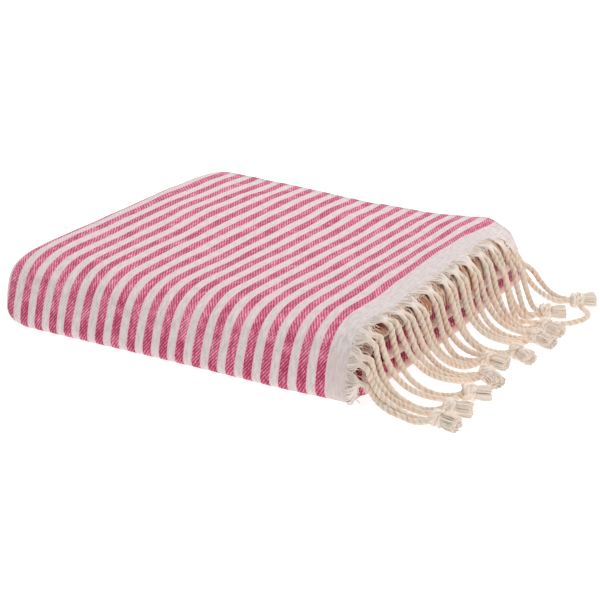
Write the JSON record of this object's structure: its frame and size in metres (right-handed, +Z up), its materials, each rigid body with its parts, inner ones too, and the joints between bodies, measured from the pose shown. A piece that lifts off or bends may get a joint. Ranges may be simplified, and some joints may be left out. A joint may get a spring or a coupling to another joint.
{
  "type": "beach towel",
  "caption": "Flat-woven striped beach towel with knotted warp fringe, folded into a flat pad with the fringe falling over one end.",
  "frame": {"origin": "middle of the folded pad's flat underside, on the surface it lies on", "axes": "+X along the front edge towards the fringe, +Y from the rounded front edge to the back, along the stripes of the top, +Z up"},
  "size_m": [0.4368, 0.3246, 0.0675],
  "materials": {
    "cloth": "flat-woven cotton with raspberry and off-white stripes 8 mm wide and an off-white end border",
    "fringe": "undyed cotton warp, twisted into two-ply cords and knotted, with cut brushes"
  },
  "bodies": {
    "root": {"towel_cloth": "cloth", "fringe": "fringe"}
  },
  "joints": []
}
